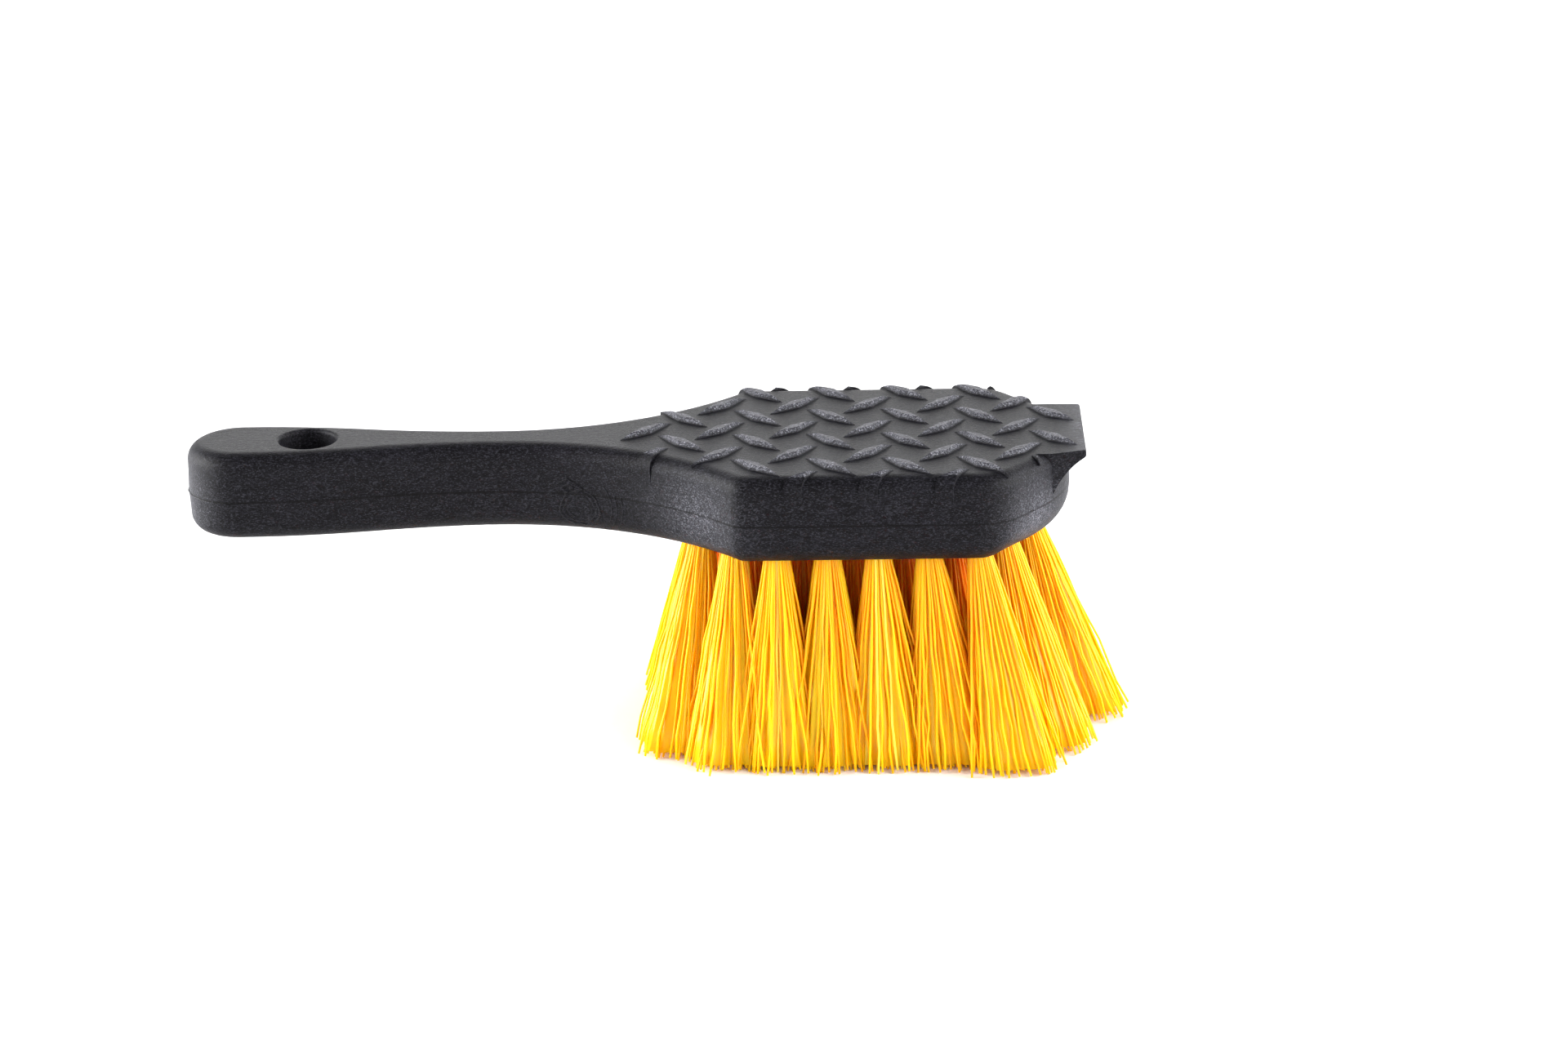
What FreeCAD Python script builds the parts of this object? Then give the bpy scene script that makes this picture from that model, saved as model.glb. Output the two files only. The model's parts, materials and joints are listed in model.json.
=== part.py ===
import FreeCAD, Part

import math
import os

import Sketcher

# Hand-held brush for car wheels: one moulded block with handle, head and scraper lip, drilled underneath for
# bristle tufts that flat wire staples hold in their holes.
# Millimetres. +X runs from the handle to the nose, +Z is up, and the origin is the centre of the brush's footprint
# on the trim plane, where the bristles end.

SIZES = {
    # heights above the trim plane
    "underside_z": 51.1,
    "parting_z": 60.8,
    "top_z": 72.7,
    # plan of the block at its parting plane, from the handle's end to the nose
    "handle_end_x": -113.2,
    "end_radius": 12.9,
    "bulge_radius": 170,
    "waist_x": -38,
    "waist_half": 7.3,
    "flare_radius": 75,
    "shoulder_radius": 5.5,
    "head_half": 34.4,
    "corner_radius": 12,
    "nose_angle": 52,
    "nose_radius": 38,
    "nose_x": 99.4,
    # draft of the side wall and rounding of its edges
    "draft_up": 1.5,
    "draft_down": 3,
    "handle_edge": 4,
    "head_top_edge": 3.8,
    "head_bottom_edge": 5,
    "nose_bottom_edge": 8.5,
    # hanging hole through the handle
    "hole_x": -83.9,
    "hole_radius": 6.9,
    "hole_rim": 0.9,
    # scraper lip on the nose
    "lip_root_x": 80,
    "lip_base_x": 94.6,
    "lip_wall_x": 94.2,
    "lip_tip_x": 102.7,
    "lip_rise": 0.4,
    "lip_thickness": 1.7,
    "lip_hollow": 18,
    "lip_half_base": 18.2,
    "lip_half_tip": 16.8,
    "lip_edge": 0.6,
    # raised diamond-plate bars on the head
    "tread_pitch": 17.8,
    "tread_x": -2.4,
    "tread_y": 1.4,
    "bar_length": 17,
    "bar_width": 3.7,
    "bar_height": 1.15,
    "bar_flank": 35,
    "bar_proud": 0.6,
    "bar_drop": 7,
    "bar_sink": 1.4,
    # bristle tufts, a little short of the bottom of the holes that hold them
    "tuft_pitch": 12,
    "row_pitch": 12.9,
    "centre_row_x": 17.1,
    "inner_row_x": 11.1,
    "outer_row_x": 29.1,
    "heel_tuft_x": 19.1,
    "heel_tuft_y": 21,
    "drill_radius": 3.175,
    "drill_depth": 13,
    "drill_start": 4,
    "hole_spare": 0.2,
    "tuft_root_radius": 3.1,
    "tuft_tip_radius": 5.8,
    "trim_allowance": 4,
    "lean_nose": 19.4,
    "lean_heel": 13.5,
    "lean_side": 7,
    "upright_x": 30,
    # flat wire staple across the fold of each tuft
    "staple_length": 7.4,
    "staple_height": 2.3,
    "staple_thickness": 0.5,
    "staple_lift": 1.5,
    "staple_gap": 0.08,
    # room that the trimming takes away under the trim plane
    "trim_reach": 150,
    "trim_depth": 40,
}

# Row name, side of the centre line in rows, alias of its first tuft's X, number of tufts.
ROWS = [
    ("front_outer", -2, "outer_row_x", 5),
    ("front_inner", -1, "inner_row_x", 7),
    ("centre", 0, "centre_row_x", 7),
    ("rear_inner", 1, "inner_row_x", 7),
    ("rear_outer", 2, "outer_row_x", 5),
]
UP = FreeCAD.Vector(0, 0, 1)
# Half a diagonal at 45 degrees, measured along X or along Y, as a share of the whole diagonal.
HALF_DIAGONAL = round(0.5 * math.sqrt(0.5), 6)


def make_sheet(doc):
    """The driving dimensions, each in a cell of its own with an alias."""
    sheet = doc.addObject("Spreadsheet::Sheet", "sizes")
    for row, (alias, value) in enumerate(SIZES.items(), start=1):
        sheet.set(f"A{row}", alias)
        sheet.set(f"B{row}", str(value))
        sheet.setAlias(f"B{row}", alias)
    doc.recompute()
    return sheet


doc = FreeCAD.newDocument("wheel_brush")
sizes = make_sheet(doc)


def size(alias):
    return float(sizes.get(alias))


def rule(*terms):
    """A length as its value and its expression, summed from aliases or pairs of a factor and an alias."""
    pairs = [(1, term) if isinstance(term, str) else term for term in terms]
    value = sum(factor * size(alias) for factor, alias in pairs)
    return value, " + ".join(f"{factor} * sizes.{alias}" for factor, alias in pairs)


def bind(obj, **expressions):
    """Drive properties of an object from the sheet."""
    for prop, expression in expressions.items():
        obj.setExpression(prop, expression)
    return obj


def add_body(label):
    body = doc.addObject("PartDesign::Body", label)
    body.Label = label
    body.AllowCompound = True
    return body


def add_sketch(body, name, role, height="0"):
    """A sketch on one of its body's origin planes, raised to height along the plane's normal."""
    sketch = body.newObject("Sketcher::SketchObject", name)
    plane = next(f for f in body.Origin.OriginFeatures if f.Role == role)
    sketch.AttachmentSupport = (plane, "")
    sketch.MapMode = "FlatFace"
    sketch.setExpression("AttachmentOffset.Base.z", height)
    return sketch


def dimension(sketch, kind, refs, value, expression):
    """A dimension of a sketch that the sheet drives."""
    index = sketch.addConstraint(Sketcher.Constraint(kind, *refs, value))
    sketch.setExpression(f"Constraints[{index}]", expression)


def closed_outline(sketch, points):
    """A closed polygon through points, each given as a pair of rules."""
    places = [FreeCAD.Vector(px[0], py[0], 0) for px, py in points]
    first = sketch.GeometryCount
    count = len(points)
    for k in range(count):
        sketch.addGeometry(Part.LineSegment(places[k], places[(k + 1) % count]))
    for k in range(count):
        sketch.addConstraint(Sketcher.Constraint("Coincident", first + k, 2, first + (k + 1) % count, 1))
    for k, point in enumerate(points):
        for kind, (value, expression) in zip(("DistanceX", "DistanceY"), point):
            dimension(sketch, kind, (-1, 1, first + k, 1), value, expression)


def arc(centre, radius, low, high):
    """A counter-clockwise arc between two angles in degrees."""
    circle = Part.Circle(FreeCAD.Vector(*centre, 0), UP, radius)
    return Part.ArcOfCircle(circle, math.radians(low), math.radians(high))


def block_outline(sketch, grow):
    """The block's plan, every line moved outwards by the length that the rule grow gives.

    A round end, a bulge around the hanging hole, a waist, a flare to the shoulders, straight sides, and a nose of
    two slanted flats and a shallow arc. All joints are tangent.
    """
    out, margin = grow
    end_r = size("end_radius") + out
    bulge_r = size("bulge_radius") + out
    flare_r = size("flare_radius") - out
    shoulder_r = size("shoulder_radius") + out
    corner_r = size("corner_radius") + out
    nose_r = size("nose_radius") + out
    waist = size("waist_half") + out
    side = size("head_half") + out
    slant = math.radians(90 - size("nose_angle"))
    end_x = size("handle_end_x") + size("end_radius")
    waist_x = size("waist_x")
    nose_x = size("nose_x") - size("nose_radius")

    # The hollow arc into the waist touches the bulge's arc and is level at the waist.
    run = waist_x - end_x
    rise = bulge_r - end_r + waist
    hollow_r = (run**2 + rise**2 - bulge_r**2) / (2 * (bulge_r - rise))
    bulge_low = math.degrees(math.atan2(rise + hollow_r, run))
    # The flare's arc turns until the shoulder's arc can round it into the straight side.
    turn = math.degrees(math.acos((waist + flare_r + shoulder_r - side) / (flare_r + shoulder_r)))
    shoulder_x = waist_x + (flare_r + shoulder_r) * math.sin(math.radians(turn))
    corner_y = side - corner_r
    corner_x = nose_x + (nose_r - corner_r - corner_y * math.sin(slant)) / math.cos(slant)
    tilt = FreeCAD.Vector(math.cos(slant), math.sin(slant), 0)
    flat_start = FreeCAD.Vector(corner_x, corner_y, 0) + tilt * corner_r
    flat_end = FreeCAD.Vector(nose_x, 0, 0) + tilt * nose_r
    slant_deg = math.degrees(slant)

    def half(sign):
        """One side's curves, from the handle to the nose, with the position number of each one's first end."""

        def bent(x, y, radius, low, high, first):
            if sign > 0:
                return arc((x, y), radius, low, high), first
            return arc((x, -y), radius, -high, -low), 3 - first

        def straight(start, end):
            return Part.LineSegment(*(FreeCAD.Vector(p.x, sign * p.y, 0) for p in (start, end))), 1

        shoulder_point = FreeCAD.Vector(shoulder_x, side, 0)
        corner_point = FreeCAD.Vector(corner_x, side, 0)
        return [
            bent(end_x, end_r - bulge_r, bulge_r, bulge_low, 90, 2),
            bent(waist_x, waist + hollow_r, hollow_r, 180 + bulge_low, 270, 1),
            bent(waist_x, waist + flare_r, flare_r, 270, 270 + turn, 1),
            bent(shoulder_x, side - shoulder_r, shoulder_r, 90, 90 + turn, 2),
            straight(shoulder_point, corner_point),
            bent(corner_x, corner_y, corner_r, slant_deg, 90, 2),
            straight(flat_start, flat_end),
        ]

    end = sketch.addGeometry(arc((end_x, 0), end_r, 90, 270))
    nose = sketch.addGeometry(arc((nose_x, 0), nose_r, -slant_deg, slant_deg))
    for centre, x, expression in (
        (end, end_x, "sizes.handle_end_x + sizes.end_radius"),
        (nose, nose_x, "sizes.nose_x - sizes.nose_radius"),
    ):
        sketch.addConstraint(Sketcher.Constraint("PointOnObject", centre, 3, -1))
        dimension(sketch, "DistanceX", (-1, 1, centre, 3), x, expression)
    dimension(sketch, "Radius", (end,), end_r, f"sizes.end_radius + {margin}")
    dimension(sketch, "Radius", (nose,), nose_r, f"sizes.nose_radius + {margin}")

    for sign in (1, -1):
        pieces = [(sketch.addGeometry(curve), first) for curve, first in half(sign)]
        bulge, hollow, flare, shoulder, flat_side, corner, slanted = (index for index, _ in pieces)
        joints = [(end, 1 if sign > 0 else 2)]
        for index, first in pieces:
            joints += [(index, first), (index, 3 - first)]
        joints.append((nose, 2 if sign > 0 else 1))
        for (one, one_end), (other, other_end) in zip(joints[::2], joints[1::2]):
            sketch.addConstraint(Sketcher.Constraint("Tangent", one, one_end, other, other_end))
        sketch.addConstraint(Sketcher.Constraint("Vertical", end, 1 if sign > 0 else 2, end, 3))
        hollow_end = 3 - pieces[1][1]
        sketch.addConstraint(Sketcher.Constraint("Vertical", hollow, hollow_end, hollow, 3))
        dimension(sketch, "DistanceX", (-1, 1, hollow, hollow_end), waist_x, "sizes.waist_x")
        waist_rule = f"sizes.waist_half + {margin}" if sign > 0 else f"-sizes.waist_half - {margin}"
        dimension(sketch, "DistanceY", (-1, 1, hollow, hollow_end), sign * waist, waist_rule)
        side_rule = f"sizes.head_half + {margin}" if sign > 0 else f"-sizes.head_half - {margin}"
        dimension(sketch, "DistanceY", (-1, 1, flat_side, 1), sign * side, side_rule)
        sketch.addConstraint(Sketcher.Constraint("Horizontal", flat_side))
        dimension(sketch, "Radius", (bulge,), bulge_r, f"sizes.bulge_radius + {margin}")
        dimension(sketch, "Radius", (flare,), flare_r, f"sizes.flare_radius - {margin}")
        dimension(sketch, "Radius", (shoulder,), shoulder_r, f"sizes.shoulder_radius + {margin}")
        dimension(sketch, "Radius", (corner,), corner_r, f"sizes.corner_radius + {margin}")
        angle = -sign * math.radians(size("nose_angle"))
        angle_rule = "-sizes.nose_angle" if sign > 0 else "sizes.nose_angle"
        dimension(sketch, "Angle", (slanted,), angle, angle_rule)


def add_slab(label, grow, top, bottom, draft_up):
    """A pad of the block's outline from its parting plane up to top and down to bottom, with draft both ways."""
    body = add_body(label)
    outline = add_sketch(body, f"{label}_outline", "XY_Plane", "sizes.parting_z")
    block_outline(outline, grow)
    pad = body.newObject("PartDesign::Pad", f"{label}_pad")
    pad.Profile = outline
    pad.SideType = "Two sides"
    bind(
        pad,
        Length=f"{top} - sizes.parting_z",
        Length2=f"sizes.parting_z - {bottom}",
        TaperAngle=draft_up,
        TaperAngle2="-sizes.draft_down",
    )
    body.Tip = pad
    doc.recompute()
    return body


def level_edges(shape, height):
    """The numbers and edges of a shape that lie flat at a height."""
    return [
        (number, edge)
        for number, edge in enumerate(shape.Edges, start=1)
        if abs(edge.BoundBox.ZMin - height) < 1e-4 and abs(edge.BoundBox.ZMax - height) < 1e-4
    ]


def round_edges(label, base, edges):
    """Round the level edges of base. Each entry is a height and the radius along the handle, the head and the nose.

    The radius changes along the flare, from the waist to the shoulder, and round the corners of the nose.
    """
    doc.recompute()
    rounded = doc.addObject("Part::Fillet", label)
    rounded.Base = base
    chosen = []
    for height, handle, head, nose in edges:

        def radius_at(x):
            if x < size("waist_x") + 1:
                return handle
            return head if x < size("lip_root_x") else nose

        for number, edge in level_edges(base.Shape, height):
            ends = (edge.valueAt(edge.FirstParameter), edge.valueAt(edge.LastParameter))
            chosen.append((number, *(radius_at(p.x) for p in ends)))
    rounded.Edges = chosen
    doc.recompute()
    return rounded


def make_core():
    """The block without lip, bars or holes."""
    slab = add_slab("block_core", (0, "0"), "sizes.top_z", "sizes.underside_z", "-sizes.draft_up")
    handle = size("handle_edge")
    top = size("head_top_edge")
    edges = [
        (size("top_z"), handle, top, top),
        (size("underside_z"), handle, size("head_bottom_edge"), size("nose_bottom_edge")),
    ]
    return round_edges("rounded_core", slab, edges)


def make_hang_hole():
    """What the hanging hole removes: a bore with a quarter-round rim at each end."""
    body = add_body("hang_hole")
    radius = size("hole_radius")
    rim = size("hole_rim")
    low = size("underside_z")
    high = size("top_z")
    profile = add_sketch(body, "hang_hole_profile", "XZ_Plane")
    wide = "sizes.hole_radius + sizes.hole_rim"
    points = [
        ((radius, low + rim), ("sizes.hole_radius", "sizes.underside_z + sizes.hole_rim")),
        ((radius, high - rim), ("sizes.hole_radius", "sizes.top_z - sizes.hole_rim")),
        ((radius + rim, high), (wide, "sizes.top_z")),
        ((radius + rim, high + 1), (wide, "sizes.top_z + 1")),
        ((0, high + 1), ("0", "sizes.top_z + 1")),
        ((0, low - 1), ("0", "sizes.underside_z - 1")),
        ((radius + rim, low - 1), (wide, "sizes.underside_z - 1")),
        ((radius + rim, low), (wide, "sizes.underside_z")),
    ]
    places = [FreeCAD.Vector(*place, 0) for place, _ in points]
    count = len(points)
    starts = []
    for k in range(count):
        if k == 1:
            profile.addGeometry(arc((radius + rim, high - rim), rim, 90, 180))
            starts.append(2)
        elif k == count - 1:
            profile.addGeometry(arc((radius + rim, low + rim), rim, 180, 270))
            starts.append(2)
        else:
            profile.addGeometry(Part.LineSegment(places[k], places[(k + 1) % count]))
            starts.append(1)
    for k in range(count):
        after = (k + 1) % count
        profile.addConstraint(Sketcher.Constraint("Coincident", k, 3 - starts[k], after, starts[after]))
    for k, (place, drivers) in enumerate(points):
        dimension(profile, "DistanceX", (-1, 1, k, starts[k]), place[0], drivers[0])
        dimension(profile, "DistanceY", (-1, 1, k, starts[k]), place[1], drivers[1])
    for k in (1, count - 1):
        dimension(profile, "Radius", (k,), rim, "sizes.hole_rim")
    spin = body.newObject("PartDesign::Revolution", "hang_hole_turned")
    spin.Profile = profile
    spin.ReferenceAxis = (profile, ["V_Axis"])
    spin.Angle = 360
    body.Tip = spin
    bind(body, **{"Placement.Base.x": "sizes.hole_x"})
    doc.recompute()
    return body


def make_lip(label, raised="0"):
    """The scraper lip: it carries the top face past the nose, rises a little, and blends down into the nose wall."""
    body = add_body(label)
    side = add_sketch(body, f"{label}_side", "XZ_Plane")
    floor = size("parting_z")
    tip_top = size("top_z") + size("lip_rise")
    tip_low = tip_top - size("lip_thickness")
    foot = FreeCAD.Vector(size("lip_wall_x"), floor, 0)
    tip = FreeCAD.Vector(size("lip_tip_x"), tip_low, 0)
    chord = tip - foot
    radius = size("lip_hollow")
    away = math.sqrt(radius**2 - (chord.Length / 2) ** 2) / chord.Length
    centre = (foot + tip) * 0.5 + FreeCAD.Vector(chord.y, -chord.x, 0) * away
    low, high = (math.degrees(math.atan2(p.y - centre.y, p.x - centre.x)) for p in (tip, foot))
    corners = [
        (size("lip_tip_x"), tip_low),
        (size("lip_tip_x"), tip_top),
        (size("lip_base_x"), size("top_z")),
        (size("lip_root_x"), size("top_z")),
        (size("lip_root_x"), floor),
        (size("lip_wall_x"), floor),
    ]
    corner_rules = [
        ("sizes.lip_tip_x", "sizes.top_z + sizes.lip_rise - sizes.lip_thickness"),
        ("sizes.lip_tip_x", "sizes.top_z + sizes.lip_rise"),
        ("sizes.lip_base_x", "sizes.top_z"),
        ("sizes.lip_root_x", "sizes.top_z"),
        ("sizes.lip_root_x", "sizes.parting_z"),
        ("sizes.lip_wall_x", "sizes.parting_z"),
    ]
    for here, there in zip(corners, corners[1:]):
        side.addGeometry(Part.LineSegment(FreeCAD.Vector(*here, 0), FreeCAD.Vector(*there, 0)))
    hollow = side.addGeometry(arc((centre.x, centre.y), radius, low, high))
    last = len(corners) - 2
    for k in range(last):
        side.addConstraint(Sketcher.Constraint("Coincident", k, 2, k + 1, 1))
    side.addConstraint(Sketcher.Constraint("Coincident", last, 2, hollow, 2))
    side.addConstraint(Sketcher.Constraint("Coincident", 0, 1, hollow, 1))
    dimension(side, "Radius", (hollow,), radius, "sizes.lip_hollow")
    for k, (place, drivers) in enumerate(zip(corners, corner_rules)):
        ref = (k, 1) if k <= last else (last, 2)
        dimension(side, "DistanceX", (-1, 1, *ref), place[0], drivers[0])
        dimension(side, "DistanceY", (-1, 1, *ref), place[1], drivers[1])
    pad = body.newObject("PartDesign::Pad", f"{label}_pad")
    pad.Profile = side
    pad.SideType = "Symmetric"
    bind(pad, Length="2 * sizes.lip_half_base")
    # Two thin wedges come off the sides, so that the lip narrows towards its tip.
    wedges = add_sketch(body, f"{label}_wedges", "XY_Plane", "sizes.top_z + 2 * sizes.lip_rise")
    beyond = rule("lip_tip_x", "lip_thickness")
    for sign in (1, -1):
        base = rule((sign, "lip_half_base"))
        wide = rule((sign, "lip_half_base"), (sign, "lip_thickness"))
        narrow = rule((sign, "lip_half_tip"))
        corner = (rule("lip_base_x"), base)
        points = [corner, (rule("lip_tip_x"), narrow), (beyond, narrow), (beyond, wide), (rule("lip_base_x"), wide)]
        closed_outline(wedges, points)
    trim = body.newObject("PartDesign::Pocket", f"{label}_trim")
    trim.Profile = wedges
    trim.Type = "ThroughAll"
    body.Tip = trim
    doc.recompute()
    tip_edges = [
        f"Edge{number}"
        for number, edge in enumerate(trim.Shape.Edges, start=1)
        if edge.BoundBox.XMin > size("lip_tip_x") - 1e-4
    ]
    fillet = body.newObject("PartDesign::Fillet", f"{label}_tip_edges")
    fillet.Base = (trim, tip_edges)
    bind(fillet, Radius="sizes.lip_edge")
    body.Tip = fillet
    bind(body, **{"Placement.Base.z": raised})
    doc.recompute()
    return body


def make_bars(label, direction, column, columns, row, rows, skirt):
    """Raised bars on a stretch of the tread's grid, whose column and row may be a half for the bars in between.

    Each bar is a long rhombus at 45 degrees, rising or falling by direction, with sloping flanks on a straight skirt.
    """
    body = add_body(label)
    plan = add_sketch(body, f"{label}_rhombus", "XY_Plane", "sizes.top_z")
    middle = (("tread_x", (column, "tread_pitch")), ("tread_y", (row, "tread_pitch")))
    length = (HALF_DIAGONAL, "bar_length")
    width = (HALF_DIAGONAL, "bar_width")
    points = []
    for (factor, alias), x_sign, y_sign in (
        (length, 1, direction),
        (width, -direction, 1),
        (length, -1, -direction),
        (width, direction, -1),
    ):
        signs = (x_sign, y_sign)
        points.append(tuple(rule(*terms, (sign * factor, alias)) for terms, sign in zip(middle, signs)))
    closed_outline(plan, points)
    pad = body.newObject("PartDesign::Pad", f"{label}_pad")
    pad.Profile = plan
    pad.SideType = "Two sides"
    bind(pad, Length="sizes.bar_height", Length2=skirt, TaperAngle="-sizes.bar_flank")
    grid = body.newObject("PartDesign::LinearPattern", f"{label}_grid")
    grid.Originals = [pad]
    grid.Direction = (plan, ["H_Axis"])
    grid.Direction2 = (plan, ["V_Axis"])
    grid.Occurrences = columns
    grid.Occurrences2 = rows
    bind(
        grid,
        Length=f"{max(columns - 1, 1)} * sizes.tread_pitch",
        Length2=f"{max(rows - 1, 1)} * sizes.tread_pitch",
    )
    body.Tip = grid
    doc.recompute()
    return body


def make_tread():
    """All bars, kept to the head and the lip. The rising ones run down the side wall and fade out on it."""
    long_skirt = "sizes.bar_drop"
    short_skirt = "sizes.bar_sink"
    stretches = [
        make_bars("rising_bars", 1, 0, 6, -1, 2, long_skirt),
        make_bars("rising_bars_rear", 1, 1, 5, 1, 1, long_skirt),
        make_bars("rising_bars_front_edge", 1, 2, 3, -2, 1, long_skirt),
        make_bars("rising_bars_rear_edge", 1, 2, 4, 2, 1, long_skirt),
        make_bars("falling_bars", -1, 0.5, 6, -0.5, 2, short_skirt),
        make_bars("falling_bars_front", -1, 1.5, 5, -1.5, 1, short_skirt),
        make_bars("falling_bars_rear", -1, 1.5, 4, 1.5, 1, short_skirt),
    ]
    bars = doc.addObject("Part::MultiFuse", "all_bars")
    bars.Shapes = stretches
    # Against the block's own wall the room for the bars opens by bar_proud over bar_drop, up to the top edge.
    spread = size("bar_proud") / size("bar_drop")
    below = size("top_z") - size("bar_drop") - size("parting_z")
    low_side = (-spread * below, f"-{spread} * (sizes.top_z - sizes.bar_drop - sizes.parting_z)")
    opening = f"(atan({spread}) / 1deg - sizes.draft_up)"
    top = "(sizes.top_z + sizes.bar_height)"
    slab = add_slab("grown_slab", low_side, top, "(sizes.parting_z - 1)", opening)
    edge = size("head_top_edge") + size("bar_proud")
    wide = size("handle_edge") + size("bar_proud")
    shell = round_edges("grown_head", slab, [(size("top_z") + size("bar_height"), wide, edge, edge)])
    over_lip = make_lip("raised_lip", "sizes.bar_height")
    room = doc.addObject("Part::MultiFuse", "tread_room")
    room.Shapes = [shell, over_lip]
    tread = doc.addObject("Part::Common", "tread")
    tread.Base = bars
    tread.Tool = room
    doc.recompute()
    return tread


def lean_of(x, y):
    """How far a tuft rooted at x, y leans, in degrees along X and along Y: upright inside, splayed at the rim."""
    run = x - size("upright_x")
    last = size("centre_row_x") + 6 * size("tuft_pitch")
    first = size("inner_row_x")
    if run > 0:
        along = size("lean_nose") * (run / (last - size("upright_x"))) ** 2
    else:
        along = -size("lean_heel") * (run / (first - size("upright_x"))) ** 2
    across = size("lean_side") * (y / (2 * size("row_pitch"))) * abs(y / (2 * size("row_pitch")))
    return along, across


def tuft_places():
    """Name, row, and the rules for X and Y of every tuft's root."""
    places = []
    for row, lane, first_x, count in ROWS:
        spots = [(rule(first_x, (k, "tuft_pitch")), rule((lane, "row_pitch"))) for k in range(count)]
        if abs(lane) == 2:
            spots.insert(0, (rule("heel_tuft_x"), rule((lane / 2, "heel_tuft_y"))))
        places += [(f"tuft_{row}_{k}", row, x, y) for k, (x, y) in enumerate(spots, start=1)]
    return places


def stand_along(obj, x, y, axis, shift):
    """Put an object's base at a tuft's root, its Z along axis, moved by shift along that axis."""
    turn = FreeCAD.Rotation(UP, axis)
    offset = axis * shift
    obj.Placement = FreeCAD.Placement(FreeCAD.Vector(x[0], y[0], size("underside_z")) + offset, turn)
    bind(
        obj,
        **{
            "Placement.Base.x": f"{x[1]} + {offset.x:.6f}",
            "Placement.Base.y": f"{y[1]} + {offset.y:.6f}",
            "Placement.Base.z": f"sizes.underside_z + {offset.z:.6f}",
        },
    )


def staple_box(name, x, y, axis, gap):
    """The flat wire across a tuft's fold, or with a gap the slot in the filaments that takes it."""
    long_side = size("staple_length") + 2 * gap
    thick = size("staple_thickness") + 2 * gap
    tall = size("staple_height") + 2 * gap
    box = doc.addObject("Part::Box", name)
    bind(
        box,
        Length=f"sizes.staple_thickness + {2 * gap}",
        Width=f"sizes.staple_length + {2 * gap}",
        Height=f"sizes.staple_height + {2 * gap}",
    )
    turn = FreeCAD.Rotation(UP, axis)
    depth = size("drill_depth") - size("staple_lift") - size("staple_height") / 2
    middle = FreeCAD.Vector(x[0], y[0], size("underside_z")) - axis * depth
    corner = turn.multVec(FreeCAD.Vector(thick, long_side, tall)) * 0.5
    box.Placement = FreeCAD.Placement(middle - corner, turn)
    return box


def make_tuft(name, x, y, trim):
    """One tuft: its plug in the hole, its flare down to the trim plane, and the slot that the staple fills.

    Returns the tuft, the drilled hole's cylinder and the staple.
    """
    along, across = lean_of(x[0], y[0])
    fall = FreeCAD.Vector(math.tan(math.radians(along)), math.tan(math.radians(across)), -1)
    reach = fall.Length * size("underside_z")
    axis = FreeCAD.Vector(fall).normalize()
    drill = bind(
        doc.addObject("Part::Cylinder", f"{name}_drill"),
        Radius="sizes.drill_radius",
        Height="sizes.drill_depth + sizes.drill_start",
    )
    stand_along(drill, x, y, axis, -size("drill_depth"))
    plug = bind(
        doc.addObject("Part::Cylinder", f"{name}_plug"),
        Radius="sizes.tuft_root_radius",
        Height="sizes.drill_depth - sizes.hole_spare",
    )
    stand_along(plug, x, y, axis, size("hole_spare") - size("drill_depth"))
    widening = f"(sizes.tuft_tip_radius - sizes.tuft_root_radius) * (1 + sizes.trim_allowance / {reach})"
    flare = bind(
        doc.addObject("Part::Cone", f"{name}_flare"),
        Radius1="sizes.tuft_root_radius",
        Radius2=f"sizes.tuft_root_radius + {widening}",
        Height=f"{reach} + sizes.trim_allowance",
    )
    stand_along(flare, x, y, axis, 0)
    bundle = doc.addObject("Part::MultiFuse", f"{name}_bundle")
    bundle.Shapes = [plug, flare]
    slot = staple_box(f"{name}_slot", x, y, axis, size("staple_gap"))
    cutters = doc.addObject("Part::MultiFuse", f"{name}_cutters")
    cutters.Shapes = [slot, trim]
    tuft = doc.addObject("Part::Cut", name)
    tuft.Label = name
    tuft.Base = bundle
    tuft.Tool = cutters
    return tuft, drill, staple_box(f"{name}_staple", x, y, axis, 0.0)


def make_all():
    """Every exported sub-part, as a list of document objects."""
    core = make_core()
    lip = make_lip("scraper_lip")
    tread = make_tread()
    moulding = doc.addObject("Part::MultiFuse", "moulding")
    moulding.Shapes = [core, lip, tread]
    trim = doc.addObject("Part::Box", "trim_block")
    side = "2 * sizes.trim_reach"
    corner = {f"Placement.Base.{axis}": "-sizes.trim_reach" for axis in "xy"}
    bind(trim, Length=side, Width=side, Height="sizes.trim_depth", **corner)
    bind(trim, **{"Placement.Base.z": "-sizes.trim_depth"})
    tufts, drills, staples = [], [], {}
    for name, row, x, y in tuft_places():
        tuft, drill, staple = make_tuft(name, x, y, trim)
        tufts.append(tuft)
        drills.append(drill)
        staples.setdefault(row, []).append(staple)
    groups = []
    for row, boxes in staples.items():
        group = doc.addObject("Part::Compound", f"staples_{row}")
        group.Label = f"staples_{row}"
        group.Links = boxes
        groups.append(group)
    cutters = doc.addObject("Part::MultiFuse", "drilling")
    cutters.Shapes = [make_hang_hole(), *drills, *(box for boxes in staples.values() for box in boxes)]
    block = doc.addObject("Part::Cut", "brush_block")
    block.Label = "brush_block"
    block.Base = moulding
    block.Tool = cutters
    doc.recompute()
    return [block, *groups, *tufts]


def check_document():
    for obj in doc.Objects:
        if {"Invalid", "Error"} & set(obj.State):
            raise RuntimeError(f"{obj.Name} did not compute: {obj.State}")
        if obj.isDerivedFrom("Sketcher::SketchObject") and not obj.FullyConstrained:
            raise RuntimeError(f"{obj.Name} is not fully constrained")


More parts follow.
